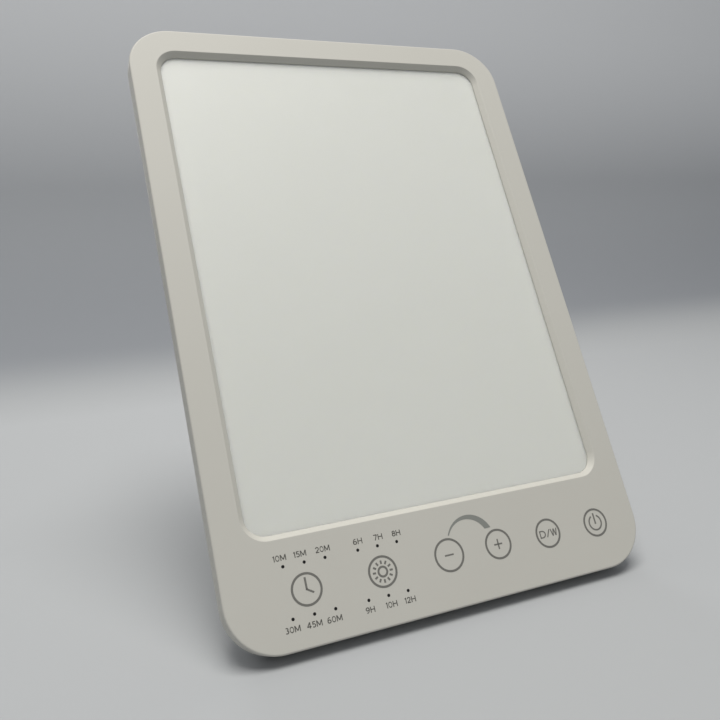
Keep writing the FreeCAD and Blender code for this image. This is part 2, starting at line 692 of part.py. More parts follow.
def lamp_strips():
    """Two upright strips of white lamps that shine into the long edges of the light guide."""
    middle = "-(guide_front + guide_thickness / 2)"
    for name, side in (("left", -1), ("right", 1)):
        inner = "strip_inside" if side > 0 else "-flange_inside"
        strip = block(name + "_strip", inner, "strip_bottom", middle + " - strip_height / 2",
                      "strip_thickness", "strip_rise", "strip_height")
        sub_part(group(name + "_strip_piece", [strip]), "led_board_" + name)
        face = "guide_half + led_gap" if side > 0 else "-strip_inside"
        lamps = []
        for number in range(LED_COUNT):
            along = "strip_bottom + strip_rise * %g - led_length / 2" % ((number + 0.5) / LED_COUNT)
            lamps.append(block("%s_lamp_%d" % (name, number), face, along, middle + " - led_width / 2",
                               "led_depth", "led_length", "led_width"))
        sub_part(group(name + "_lamps", lamps), "leds_" + name)


def foam_bars():
    """Two soft bars that press the stack against the frame."""
    bars = []
    for name, left in (("left_foam", "-foam_offset - foam_width"), ("right_foam", "foam_offset")):
        bars.append(block(name, left, "foam_foot", "-back_inside", "foam_width", "foam_length",
                          "back_inside - tray_back"))
    sub_part(group("foam_group", bars), "foam_bars")


def control_board():
    """The circuit board under the keys, with holes for the bosses and a notch round the inlet."""
    plate = block("board_plate", "-board_half", "board_bottom", "-board_back", "2 * board_half",
                  "board_top - board_bottom", "board_thickness")
    left = "panel_width / 2 - side_wall - jack_setback - jack_length - jack_clearance"
    start, depth = "-board_back - over", "board_thickness + 2 * over"
    tools = [block("board_notch", left, "jack_line - jack_width / 2 - jack_clearance", start, "board_half",
                   "jack_width + 2 * jack_clearance", depth)]
    for across, up in CASE_SCREWS[1:3]:
        radius = "boss_radius + board_hole_gap"
        tools.append(rod(across + "_board_hole", radius, depth, from_left(across), up, start))
    for across in BOARD_SCREWS:
        radius = "screw_radius + way_gap"
        tools.append(rod(across + "_hole", radius, depth, from_left(across), "key_line", start))
    sub_part(cut("board_cut", plate, tools), "control_board")


def board_parts():
    """The larger components on the rear of the board: controllers, converters, coils and capacitors."""
    pieces = []
    for name, across, up, length, width, height in COMPONENTS:
        left = "%g - panel_width / 2" % across
        pieces.append(block(name, left, up, "-board_back - %g" % height, length, width, height))
    for name, across in CAPACITORS:
        middle = "%g - panel_width / 2" % across
        back = "-board_back - capacitor_height"
        pieces.append(rod(name, "capacitor_radius", "capacitor_height", middle, "capacitor_line", back))
    sub_part(group("component_group", pieces), "board_components")


def indicators():
    """Twelve small lamps on the board, the bars that keep their light apart, and dark light pipes."""
    lamps = []
    for number, (across, up) in enumerate(DOTS):
        left, low = across + " - indicator_length / 2", up + " - indicator_width / 2"
        lamps.append(block("indicator_%d" % number, left, low, "-board_front", "indicator_length",
                           "indicator_width", "indicator_height"))
    sub_part(group("indicator_group", lamps), "indicator_leds")
    bars = []
    for row in range(4):
        trio = DOTS[3 * row:3 * row + 3]
        across, up = trio[0]
        left, low = across + " - baffle_end", up + " - baffle_width / 2"
        bar = block("baffle_bar_%d" % row, left, low, "-board_front", "2 * (dot_pitch + baffle_end)",
                    "baffle_width", "board_gap")
        wells = [
            rod("baffle_well_%d_%d" % (row, number), "baffle_bore", "board_gap + 2 * over", x, y,
                "-board_front - over")
            for number, (x, y) in enumerate(trio)
        ]
        bars.append(cut("baffle_%d" % row, bar, wells))
    sub_part(group("baffle_group", bars), "light_baffles")
    pipes = [
        rod("light_pipe_%d" % number, "dot_radius - pipe_gap", "face_wall - pipe_sink", x, y, "-face_wall")
        for number, (x, y) in enumerate(DOTS)
    ]
    sub_part(group("pipe_group", pipes), "light_pipes")


def touch_pads():
    """Conductive foam discs that carry the touch of a finger from the face to the board."""
    pads = [
        rod(key + "_pad", "key_radius", "board_gap", from_left(key), "key_line", "-board_front")
        for key in KEYS
    ]
    sub_part(group("pad_group", pads), "touch_pads")


def power_inlet():
    """The socket for a 5.5 mm plug, with its centre contact."""
    front = "panel_width / 2 - side_wall - jack_setback"
    housing = block("jack_housing", front + " - jack_length", "jack_line - jack_width / 2",
                    "-thickness / 2 - jack_height / 2", "jack_length", "jack_width", "jack_height")
    bore = cross_rod("jack_hole", "jack_bore", "jack_bore_depth + over", front + " - jack_bore_depth",
                     "jack_line", "-thickness / 2")
    sub_part(cut("jack_cut", housing, [bore]), "dc_jack")
    contact = cross_rod("jack_contact", "jack_pin_radius", "jack_pin_length", front + " - jack_bore_depth",
                        "jack_line", "-thickness / 2")
    sub_part(group("jack_contact_piece", [contact]), "dc_jack_pin")


def lead(name, points):
    """A round insulated lead along straight runs joined by tangent arcs, given as lists of formulas."""
    spots = [FreeCAD.Vector(*[value(text) for text in point]) for point in points]
    edges = []
    start = spots[0]
    for before, corner, after in zip(spots, spots[1:], spots[2:]):
        arriving = (corner - before).normalize()
        leaving = (after - corner).normalize()
        reach = BEND_SHARE * min((corner - before).Length, (after - corner).Length)
        enter, leave = corner - arriving * reach, corner + leaving * reach
        half_turn = arriving.getAngle(leaving) / 2
        bend = (leaving - arriving).normalize()
        radius = reach / math.tan(half_turn)
        to_centre = (radius * radius + reach * reach) ** 0.5
        middle = corner + bend * (to_centre - radius)
        edges.append(Part.LineSegment(start, enter).toShape())
        edges.append(Part.Arc(enter, middle, leave).toShape())
        start = leave
    edges.append(Part.LineSegment(start, spots[-1]).toShape())
    path = Part.Wire(edges)
    ahead = (spots[1] - spots[0]).normalize()
    section = Part.Wire([Part.makeCircle(value("lead_radius"), spots[0], ahead)])
    obj = doc.addObject("Part::Feature", name + "_run")
    obj.Shape = path.makePipeShell([section], True, False)
    return obj


def leads():
    """The power leads from the inlet and the two pairs that feed the lamp strips."""
    start = "panel_width / 2 - side_wall - jack_setback - jack_length"
    behind = "-(board_back + lead_rise)"
    end = start + " - lead_run"
    for name, side in (("red", 1), ("black", -1)):
        up = "jack_line + %d * lead_spacing" % side
        route = [(start, up, behind), (end, up, behind), (end, up, "-board_back")]
        sub_part(lead("dc_lead_" + name, route), "dc_lead_" + name)
    for name, side in (("left", "-"), ("right", "")):
        edge, strip = side + "board_half", side + "strip_middle"
        up, deep = "board_top - lead_inset", "-board_middle"
        route = [(edge, up, deep), (strip, up, deep), (strip, "strip_bottom", deep)]
        sub_part(lead("led_lead_" + name, route), "led_lead_" + name)


def cross_slot(name, x, y, z, depth):
    """The two bars of a cross recess."""
    bars = []
    sizes = [("_bar", "slot_length", "slot_width"), ("_cross", "slot_width", "slot_length")]
    for suffix, length, width in sizes:
        left, low = "%s - %s / 2" % (x, length), "%s - %s / 2" % (y, width)
        bars.append(block(name + suffix, left, low, z, length, width, depth))
    return bars


def pan_screw(name, x, y, seat, length):
    """A screw that is driven from the back: its head sits behind the depth of its seat."""
    head_back = "-(%s) - head_height" % seat
    head = rod(name + "_head", "head_radius", "head_height", x, y, head_back)
    shank = rod(name + "_shank", "screw_radius", length, x, y, "-(%s)" % seat)
    solid = union(name + "_solid", [head, shank])
    return cut(name, solid, cross_slot(name, x, y, head_back + " - over", "slot_depth + over"))


def screws():
    """Four screws close the casing and four hold the board."""
    closing = [
        pan_screw("case_" + across, from_left(across), up, "thickness - head_depth", "case_screw_length")
        for across, up in CASE_SCREWS
    ]
    sub_part(group("case_screw_group", closing), "case_screws")
    holding = [
        pan_screw("board_" + across, from_left(across), "key_line", "board_back", "board_screw_length")
        for across in BOARD_SCREWS
    ]
    sub_part(group("board_screw_group", holding), "board_screws")


def stand_leg():
    """The leg: a flat tongue with its knuckle, the stop on the knuckle and a slot for the pad."""
    body = new_body("stand_leg")
    end = "leg_length - pad_length"
    tongue = new_sketch(body, "tongue_outline", y="(%s) / 2" % end, z="-knuckle_radius")
    outline(tongue, "tongue", "leg_width", end, "leg_corner")
    plate = pad(body, tongue, "leg_thickness")
    faces = (-value("knuckle_radius"), value("leg_thickness") - value("knuckle_radius"))
    flat_edges = edges_where(plate, lambda edge: any(at_depth(edge, -z) for z in faces))
    fillet(body, plate, flat_edges, "leg_round")
    root = new_sketch(body, "leg_root", z="-knuckle_radius")
    rectangle(root, "-leg_width / 2", 0, "leg_width / 2", "leg_corner")
    pad(body, root, "leg_thickness")
    knuckle = new_sketch(body, "knuckle", plane="YZ_Plane")
    circle(knuckle, "knuckle", 0, 0, "knuckle_radius")
    pad(body, knuckle, "leg_width", both_ways=True)
    heel = new_sketch(body, "heel", plane="YZ_Plane")
    bind(heel, AttachmentOffset__Rotation__Angle="180 - open_angle")
    rectangle(heel, 0, 0, "heel_width", "knuckle_radius + knuckle_gap - heel_gap")
    pad(body, heel, "heel_length", both_ways=True)
    bore = new_sketch(body, "leg_bore", plane="YZ_Plane")
    circle(bore, "bore", 0, 0, "pin_radius + pin_running_gap")
    pocket(body, bore, "2 * leg_width", both_ways=True)
    middle = "leg_thickness / 2 - knuckle_radius"
    slot = new_sketch(body, "pad_slot", plane="XZ_Plane", y=middle, z="-(%s)" % end)
    half, rise = "(tenon_width / 2 + tenon_gap)", "(tenon_thickness / 2 + tenon_gap)"
    rectangle(slot, "-" + half, "-" + rise, half, rise)
    pocket(body, slot, "tenon_reach + tenon_gap", reverse=True)
    sub_part(body, "stand_leg", "leg")


def hinge_pin():
    """The pin is tight in the hinge blocks of the back and turns in the leg."""
    pin = cross_rod("pin_rod", "pin_radius", "2 * ear_outside", "-ear_outside", "hinge_line", "-hinge_depth")
    sub_part(group("pin_piece", [pin]), "hinge_pin")


def foot_pad():
    """The rubber pad on the end of the leg, whose sole is flat on the table when the leg is open."""
    end = "leg_length - pad_length"
    heel = block("pad_block", "-pad_width / 2", end, "-knuckle_radius", "pad_width", "pad_length",
                 "leg_thickness")
    low = "leg_thickness / 2 - knuckle_radius - tenon_thickness / 2"
    tenon = block("pad_tenon", "-tenon_width / 2", end + " - tenon_reach", low, "tenon_width",
                  "tenon_reach + pad_length / 2", "tenon_thickness")
    below = block("pad_below_table", 0, 0, 0, "2 * pad_width", "2 * pad_length", "leg_length")
    tilted = "placement(vector(0; 0; 0); " + turn % "-prop_angle" + ")"
    shifted = "placement(vector(-pad_width; hinge_height; 0); " + turn % "0" + ")"
    bind(below, Placement=tilted + " * " + shifted)
    sub_part(cut("pad_cut", union("pad_solid", [heel, tenon]), [below]), "foot_pad", "leg")


def write_parts():
    """Checks every object of the document and writes one file for each piece."""
    doc.recompute()
    for obj in doc.Objects:
        if "Invalid" in obj.State or "Error" in obj.State:
            raise RuntimeError("%s is %s" % (obj.Name, obj.State))
    os.makedirs("parts", exist_ok=True)
    for obj in SUB_PARTS:
        shape = obj.Shape
        if shape.isNull() or not shape.isValid():
            raise RuntimeError(obj.Label + " has no valid shape")
        shape.exportStep("parts/%s.step" % obj.Label)
        print("%-18s solids %2d volume %10.1f" % (obj.Label, len(shape.Solids), shape.Volume))


front_bezel()
rear_cover()
sheet_stack()
back_tray()
lamp_strips()
foam_bars()
control_board()
board_parts()
indicators()
touch_pads()
power_inlet()
leads()
screws()
stand_leg()
hinge_pin()
foot_pad()
write_parts()
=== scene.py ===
# %% [markdown]
# # A tablet light therapy lamp
# The real lamp is a flat panel that stands on a table and leans back on a leg. Its casing is two
# shells of off-white moulded plastic, its window is an opal sheet lit from its edges, and its keys
# are printed on the face. The frame that is loaded first holds the engineering model. Every piece
# below is made in the same place as the part that it stands for or sits on, in metres.
# %% Load the frame
import math
import bmesh
import bpy
from mathutils import Matrix, Vector


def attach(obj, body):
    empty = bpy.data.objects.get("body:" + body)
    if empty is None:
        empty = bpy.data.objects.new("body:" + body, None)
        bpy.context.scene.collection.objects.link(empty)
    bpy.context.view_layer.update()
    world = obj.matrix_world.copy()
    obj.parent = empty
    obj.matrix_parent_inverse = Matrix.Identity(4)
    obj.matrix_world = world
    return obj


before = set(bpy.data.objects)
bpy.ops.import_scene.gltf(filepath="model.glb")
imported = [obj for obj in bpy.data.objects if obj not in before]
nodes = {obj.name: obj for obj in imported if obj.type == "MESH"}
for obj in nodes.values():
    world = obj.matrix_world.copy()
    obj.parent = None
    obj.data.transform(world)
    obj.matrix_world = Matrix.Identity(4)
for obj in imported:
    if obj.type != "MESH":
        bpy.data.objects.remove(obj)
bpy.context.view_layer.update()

# %% [markdown]
# ## Where the panel is
# All the visible features lie on the leaning panel, so it is easiest to draw them flat: x to the
# right from the panel's middle, y up from its lower edge, z out of the face, in millimetres. One
# matrix then stands the drawing up in the frame, in metres.
# %% The panel's own drawing board
LEAN = math.radians(30.8)
SETBACK = 65.172
LIFT = 4.386
HALF_WIDTH = 82.0
STAND_UP = Matrix.Translation((0, -SETBACK, LIFT)) @ Matrix.Rotation(math.pi / 2 - LEAN, 4, "X")
PANEL = Matrix.Scale(0.001, 4) @ STAND_UP

print("upper right corner of the face", PANEL @ Vector((HALF_WIDTH, 236, 0)))

# %% [markdown]
# ## The camera
# The photograph is taken from close by, a little above the lamp and from its left, so the panel's
# far corner shrinks. The camera's place was solved from the panel's outline and its printed rings.
# %% Camera
CAMERA_PLACE = Vector((-0.12848, -0.26887, 0.14588))
CAMERA_AIM = Vector((-0.00906, 0.00046, 0.07918))
CAMERA_ROLL = math.radians(-0.94)
CAMERA_LENS = 38.32
HALF_PIXEL = 0.5 / 720  # the photograph was measured from pixel middle to pixel middle

scene = bpy.context.scene
camera_data = bpy.data.cameras.new("camera")
camera_data.lens = CAMERA_LENS
camera_data.sensor_width = 36
camera_data.clip_start = 0.01
camera_data.shift_x = -HALF_PIXEL
camera_data.shift_y = HALF_PIXEL
camera = bpy.data.objects.new("camera", camera_data)
scene.collection.objects.link(camera)
look = (CAMERA_AIM - CAMERA_PLACE).to_track_quat("-Z", "Y").to_matrix().to_4x4()
camera.matrix_world = Matrix.Translation(CAMERA_PLACE) @ look @ Matrix.Rotation(CAMERA_ROLL, 4, "Z")
scene.camera = camera
print("camera", camera.location, "lens", camera_data.lens)

# %% [markdown]
# ## Colours and nodes
# Colours are written as people pick them, as sRGB hex values, and turned to the linear values that
# the shader works with. One small function adds any node, sets it and wires it, so a material reads
# as a short recipe.
# %% Helpers for materials
def linear(hex_value):
    """Linear red, green, blue and alpha of an sRGB hex colour."""
    channels = [int(hex_value[i:i + 2], 16) / 255 for i in (1, 3, 5)]
    return [c / 12.92 if c <= 0.04045 else ((c + 0.055) / 1.055) ** 2.4 for c in channels] + [1.0]


def add(material, kind, settings=None, **inputs):
    """Adds a node. An input is a value or a socket to link from; n6 means the input with number 6."""
    tree = material.node_tree
    node = tree.nodes.new("ShaderNode" + kind)
    for name, given in (settings or {}).items():
        setattr(node, name, given)
    for name, given in inputs.items():
        numbered = name[0] == "n" and name[1:].isdigit()
        socket = node.inputs[int(name[1:]) if numbered else name.replace("_", " ")]
        if isinstance(given, bpy.types.NodeSocket):
            tree.links.new(given, socket)
        else:
            socket.default_value = given
    return node


def new_material(name, **inputs):
    """A material with one Principled shader, whose inputs are set."""
    material = bpy.data.materials.new(name)
    material.use_nodes = True
    material.node_tree.nodes.clear()
    shader = add(material, "BsdfPrincipled", **inputs)
    add(material, "OutputMaterial", Surface=shader.outputs["BSDF"])
    return material, shader


def per_metre(millimetres):
    """The scale of a pattern on coordinates in metres whose features are this far apart."""
    return 1000.0 / millimetres


def wire(material, output, socket):
    """Links an output to an input that was left open."""
    material.node_tree.links.new(output, socket)


print("mid grey is", linear("#808080")[0])

# %% [markdown]
# ## Surfaces with a grain
# Most parts of the lamp are moulded, foamed or coated, and all of them need the same two things: a
# colour that drifts a little over centimetres, as plastic does where it flowed, and a fine grain
# that breaks up the highlight. Noise in real millimetres on Object coordinates gives both, and it
# stays put when a part moves.
# %% The recipe for a grained surface
def grained(name, base, drift, grain, depth, drift_size=60.0, **shading):
    """A colour that drifts to another, and a bump whose grain and depth are in millimetres."""
    material, shader = new_material(name, **shading)
    where = add(material, "TexCoord").outputs["Object"]
    clouds = add(material, "TexNoise", Vector=where, Scale=per_metre(drift_size), Detail=2.0)
    colour = add(material, "Mix", {"data_type": "RGBA"}, Factor=clouds.outputs["Fac"],
                 n6=linear(base), n7=linear(drift))
    fine = add(material, "TexNoise", Vector=where, Scale=per_metre(grain), Detail=2.0, Roughness=0.6)
    bump = add(material, "Bump", Strength=0.5, Distance=depth / 1000, Height=fine.outputs["Fac"])
    wire(material, colour.outputs[2], shader.inputs["Base Color"])
    wire(material, bump.outputs["Normal"], shader.inputs["Normal"])
    return material


# %% [markdown]
# ## Moulded ABS for the casing
# The casing is injection moulded ABS in a warm off-white. The mould is spark eroded, so the skin has
# a very fine matt grain, and reflects the room only as a soft haze. The grain is drawn at 0.5 mm,
# about twice as coarse as it is, so that it shows at all.
# %% Casing
ABS_IOR = 1.53
casing_abs = grained("moulded_abs_off_white", "#C6C4BC", "#C2C0B8", 0.5, 0.02, Roughness=0.6, IOR=ABS_IOR)
leg_abs = grained("moulded_abs_leg", "#C5C3BB", "#C0BEB6", 0.6, 0.025, Roughness=0.62, IOR=ABS_IOR)
print("casing materials", casing_abs.name, leg_abs.name)

# %% [markdown]
# ## Opal acrylic for the window
# The window is a sheet of opal acrylic whose outer side is pressed with a fine pebble, so that the
# lamps behind it cannot be seen. Light wanders several millimetres through the sheet before it comes
# back, which softens every shadow on it: subsurface scattering does that.
# %% Opal sheet
ACRYLIC_IOR = 1.49
SCATTER_SHARE, SCATTER_DEPTH = 0.9, 0.004  # nearly all of the light, and metres
opal_acrylic = grained("extruded_opal_acrylic", "#E2E4DB", "#DEE0D7", 0.45, 0.03, 80.0,
                       Roughness=0.5, IOR=ACRYLIC_IOR)
opal_shader = opal_acrylic.node_tree.nodes["Principled BSDF"]
opal_shader.inputs["Subsurface Weight"].default_value = SCATTER_SHARE
opal_shader.inputs["Subsurface Radius"].default_value = (1.0, 1.0, 0.9)
opal_shader.inputs["Subsurface Scale"].default_value = SCATTER_DEPTH
print("opal sheet", opal_acrylic.name)

# %% [markdown]
# ## Inside the casing
# Behind the opal sheet lie a prism film, an acrylic light guide with printed dots that let the light
# out, and a white reflector, in a tray of rolled aluminium. The strips, the board and its parts
# have the finishes that such parts have in any lamp.
# %% Plastics, foams and coatings
white_pet = grained("polyester_reflector_white", "#EDEDEA", "#E6E7E6", 0.3, 0.01, 20.0, Roughness=0.3)
prism_pet = grained("polyester_prism_film", "#E4E8EA", "#DDE2E5", 0.05, 0.02, 30.0, Roughness=0.15)
strip_mask = grained("solder_mask_white", "#E8E8E0", "#DFDFD6", 0.8, 0.01, 10.0, Roughness=0.35)
phosphor = grained("silicone_phosphor_yellow", "#E8D883", "#DCC96C", 0.2, 0.02, 1.5, Roughness=0.35)
foam = grained("polyethylene_foam_black", "#1B1B1C", "#262627", 0.9, 0.4, 6.0, Roughness=0.95)
key_foam = grained("conductive_foam_grey", "#747476", "#626264", 0.7, 0.3, 3.0, Roughness=0.85)
nylon_black = grained("moulded_nylon_black", "#18181A", "#222224", 0.4, 0.02, 8.0, Roughness=0.45)
epoxy_black = grained("moulded_epoxy_black", "#1D1E20", "#2A2B2D", 0.25, 0.01, 3.0, Roughness=0.55)
rubber_grey = grained("moulded_rubber_grey", "#4C4C4D", "#454546", 0.5, 0.04, 10.0, Roughness=0.8)
smoked_acrylic = grained("moulded_acrylic_smoked", "#050505", "#080808", 0.3, 0.005, 2.0,
                         Roughness=0.4)
red_pvc = grained("extruded_pvc_red", "#B01616", "#A31212", 0.3, 0.01, 4.0, Roughness=0.35)
black_pvc = grained("extruded_pvc_black", "#141415", "#1C1C1D", 0.3, 0.01, 4.0, Roughness=0.35)
white_pvc = grained("extruded_pvc_white", "#E4E4E2", "#DADAD8", 0.3, 0.01, 4.0, Roughness=0.35)
print("plastics and foams", len(bpy.data.materials))

# %% [markdown]
# The light guide is clear cast acrylic. Its rear is laser marked with dots 1.5 mm apart, which look
# like frost. They are drawn as a fine pattern of cells that is rough, in a sheet that is smooth.
# %% Light guide
MARK_PITCH = 1.5
guide_acrylic, guide_shader = new_material("cast_acrylic_clear", IOR=ACRYLIC_IOR,
                                           Transmission_Weight=0.85)
guide_shader.inputs["Base Color"].default_value = linear("#F1F6F5")
guide_where = add(guide_acrylic, "TexCoord").outputs["Object"]
marks = add(guide_acrylic, "TexVoronoi", {"feature": "F1"}, Vector=guide_where,
            Scale=per_metre(MARK_PITCH))
frost = add(guide_acrylic, "MapRange", Value=marks.outputs["Distance"], From_Min=0.25, From_Max=0.35,
            To_Min=0.5, To_Max=0.06)
wire(guide_acrylic, frost.outputs["Result"], guide_shader.inputs["Roughness"])
print("light guide", guide_acrylic.name)

# %% [markdown]
# The control board is glass-epoxy under green solder mask. Copper runs under the mask as slightly
# lighter lines on a grid; a brick pattern turned to the panel's own axes draws them.
# %% Control board
COPPER_PITCH = 4.0
board_epoxy, board_shader = new_material("solder_mask_green", Roughness=0.3)
board_where = add(board_epoxy, "TexCoord").outputs["Object"]
board_flat = add(board_epoxy, "Mapping", {"vector_type": "POINT"}, Vector=board_where,
                 Rotation=(-(math.pi / 2 - LEAN), 0, 0))
runs = add(board_epoxy, "TexBrick", Vector=board_flat.outputs["Vector"], Scale=per_metre(COPPER_PITCH),
           Color1=linear("#17512D"), Color2=linear("#1B5A33"), Mortar=linear("#2C7546"))
runs.inputs["Mortar Size"].default_value = 0.03
wire(board_epoxy, runs.outputs["Color"], board_shader.inputs["Base Color"])
print("board", board_epoxy.name)

# %% [markdown]
# ## Metals
# Screws and the hinge pin are steel with a bright zinc coat, the tray is bare rolled aluminium and
# the inlet's contact is tinned brass. Rolling leaves fine streaks along the sheet, and zinc has a
# faint crystal mottle: both go into the roughness, which is what the eye reads on metal.
# %% Metals
def metal(name, colour, streak, smooth, rough):
    """A metal whose roughness varies over streaks whose spacing is given along each axis, in mm."""
    material, shader = new_material(name, Metallic=1.0)
    shader.inputs["Base Color"].default_value = linear(colour)
    where = add(material, "TexCoord").outputs["Object"]
    stretched = add(material, "Mapping", Vector=where, Scale=[per_metre(s) for s in streak])
    noise = add(material, "TexNoise", Vector=stretched.outputs["Vector"], Scale=1.0, Detail=3.0)
    spread = add(material, "MapRange", Value=noise.outputs["Fac"], To_Min=smooth, To_Max=rough)
    bump = add(material, "Bump", Strength=0.2, Distance=0.00002, Height=noise.outputs["Fac"])
    wire(material, spread.outputs["Result"], shader.inputs["Roughness"])
    wire(material, bump.outputs["Normal"], shader.inputs["Normal"])
    return material


zinc_steel = metal("zinc_plated_steel", "#B9BBBD", (0.8, 0.8, 0.8), 0.22, 0.42)
pin_steel = metal("drawn_steel_pin", "#AEB0B2", (6.0, 0.2, 0.2), 0.2, 0.35)
rolled_aluminium = metal("rolled_aluminium", "#CFD1D3", (20.0, 0.3, 0.3), 0.25, 0.45)
tinned_brass = metal("tinned_brass", "#CDC6AA", (1.5, 1.5, 1.5), 0.2, 0.35)
print("metals", zinc_steel.name, pin_steel.name, rolled_aluminium.name, tinned_brass.name)

# %% [markdown]
# ## Finish of each part
# Every part of the engineering model whose shape is right stays, and takes one of the finishes.
# %% Give the parts their finishes
FINISHES = {
    "front_bezel": casing_abs, "rear_cover": casing_abs, "stand_leg": leg_abs,
    "diffuser_sheet": opal_acrylic, "prism_film": prism_pet, "light_guide": guide_acrylic,
    "reflector_sheet": white_pet, "back_tray": rolled_aluminium, "led_board_left": strip_mask,
    "led_board_right": strip_mask, "leds_left": phosphor, "leds_right": phosphor, "foam_bars": foam,
    "control_board": board_epoxy, "board_components": epoxy_black, "indicator_leds": phosphor,
    "light_baffles": nylon_black, "light_pipes": smoked_acrylic, "touch_pads": key_foam,
    "dc_jack": nylon_black, "dc_jack_pin": tinned_brass, "dc_lead_red": red_pvc,
    "dc_lead_black": black_pvc, "led_lead_left": white_pvc, "led_lead_right": white_pvc,
    "case_screws": zinc_steel, "board_screws": zinc_steel, "hinge_pin": pin_steel,
    "foot_pad": rubber_grey,
}
for name, node in nodes.items():
    node.data.materials.clear()
    node.data.materials.append(FINISHES[name])
print("finished", len(FINISHES), "parts, none left out:", set(nodes) == set(FINISHES))

# %% [markdown]
# ## The printed keys
# The six keys are symbols in rings, pad printed in a warm grey ink on the strip under the window.
# Nothing moves: a finger on the print is felt by a pad behind the face. Ink stands a few hundredths
# of a millimetre proud, so each mark is drawn as a thin shape with its foot just inside the face.
# Places are in millimetres from the panel's left and lower edges.
# %% Ink and helpers for marks
INK_FOOT, INK_TOP = -0.02, 0.03
ink = grained("pad_printing_ink_grey", "#6E6D68", "#73726D", 0.3, 0.004, 15.0, Roughness=0.6)
pale_ink = grained("pad_printing_ink_pale", "#82847F", "#878984", 0.3, 0.004, 15.0, Roughness=0.6)
label_ink = grained("pad_printing_ink_label", "#55544F", "#5A5954", 0.3, 0.004, 15.0, Roughness=0.6)


def place_piece(mesh, name, material):
    """Turns a drawing on the panel, in millimetres, into a piece that rides on the lamp."""
    bmesh.ops.recalc_face_normals(mesh, faces=mesh.faces)
    data = bpy.data.meshes.new(name)
    mesh.to_mesh(data)
    mesh.free()
    data.transform(PANEL)
    data.materials.append(material)
    piece = bpy.data.objects.new(name, data)
    scene.collection.objects.link(piece)
    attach(piece, "lamp")
    print(name, len(data.polygons), "faces")
    return piece


def from_left(x, y):
    """A point on the face, given from its left and lower edges."""
    return Vector((x - HALF_WIDTH, y, 0))


def arc_stroke(mesh, x, y, radius, width, start=0.0, sweep=360.0, steps=72):
    """A stroke round a point, spun from its own small cross section. Angles run left round from +x."""
    aim = Matrix.Rotation(math.radians(start), 4, "Z")
    corners = [
        mesh.verts.new(from_left(x, y) + aim @ Vector((across, 0, height)))
        for across, height in (
            (radius - width / 2, INK_FOOT), (radius + width / 2, INK_FOOT),
            (radius + width / 2, INK_TOP), (radius - width / 2, INK_TOP),
        )
    ]
    section = [mesh.edges.new(pair) for pair in zip(corners, corners[1:] + corners[:1])]
    full = sweep >= 360
    bmesh.ops.spin(mesh, geom=section, cent=from_left(x, y), axis=(0, 0, 1), angle=math.radians(sweep),
                   steps=steps, use_merge=full)
    if not full:
        bmesh.ops.holes_fill(mesh, edges=[e for e in mesh.edges if e.is_boundary])


def bar(mesh, start, end, width):
    """A straight stroke between two points."""
    a, b = from_left(*start), from_left(*end)
    along = b - a
    turn = Matrix.Rotation(math.atan2(along.y, along.x), 4, "Z")
    middle = (a + b) / 2 + Vector((0, 0, (INK_FOOT + INK_TOP) / 2))
    stretch = Matrix.Diagonal((along.length, width, INK_TOP - INK_FOOT, 1))
    bmesh.ops.create_cube(mesh, size=1, matrix=Matrix.Translation(middle) @ turn @ stretch)


# %% [markdown]
# The rings are 10 to 11 mm across. Each is a small rectangle spun once round its middle, with the
# last section merged into the first, so it is closed and even.
# %% Rings of the keys
RING_WIDTH = 0.77
RINGS = [
    (27.67, 17.9, 4.98), (54.83, 17.8, 4.96), (80.7, 18.04, 5.45),
    (101.0, 17.88, 5.03), (122.8, 17.55, 5.0), (144.85, 17.4, 4.96),
]
ring_mesh = bmesh.new()
for x, y, radius in RINGS:
    arc_stroke(ring_mesh, x, y, radius, RING_WIDTH)
rings = place_piece(ring_mesh, "key_rings", ink)

# %% [markdown]
# The symbols are the ones found on such lamps: a clock for the timer, a sun for brightness hours,
# minus and plus, and the power mark. Hands, rays and bars are straight strokes, and the sun and the
# power mark have arcs.
# %% Symbols in the rings
symbols = bmesh.new()
MINUTE_HAND, HOUR_HAND = 0.7, 0.65
bar(symbols, (27.67, 21.7), (27.67, 17.66), MINUTE_HAND)
bar(symbols, (27.4, 18.05), (29.9, 16.5), HOUR_HAND)

SUN = (54.83, 17.8)
SUN_RADIUS, SUN_STROKE = 1.59, 0.72
RAYS, RAY_START, RAY_END, RAY_STROKE = 12, 2.52, 3.7, 0.66
arc_stroke(symbols, *SUN, SUN_RADIUS, SUN_STROKE, steps=48)
for ray in range(RAYS):
    angle = math.radians(360 / RAYS * ray)
    aim = Vector((math.sin(angle), math.cos(angle)))
    bar(symbols, Vector(SUN) + RAY_START * aim, Vector(SUN) + RAY_END * aim, RAY_STROKE)

SIGN_STROKE = 0.56
bar(symbols, (78.93, 18.05), (82.45, 18.05), SIGN_STROKE)
bar(symbols, (99.22, 17.86), (102.6, 17.86), SIGN_STROKE)
bar(symbols, (100.95, 16.08), (100.95, 19.7), SIGN_STROKE)

GAP = 26.0  # degrees either side of the top
POWER_RADIUS, POWER_STROKE, POWER_BAR = 2.74, 0.6, 0.66
arc_stroke(symbols, 144.85, 17.38, POWER_RADIUS, POWER_STROKE, start=90 + GAP, sweep=360 - 2 * GAP)
bar(symbols, (144.85, 20.97), (144.85, 16.84), POWER_BAR)
symbols_piece = place_piece(symbols, "key_symbols", ink)

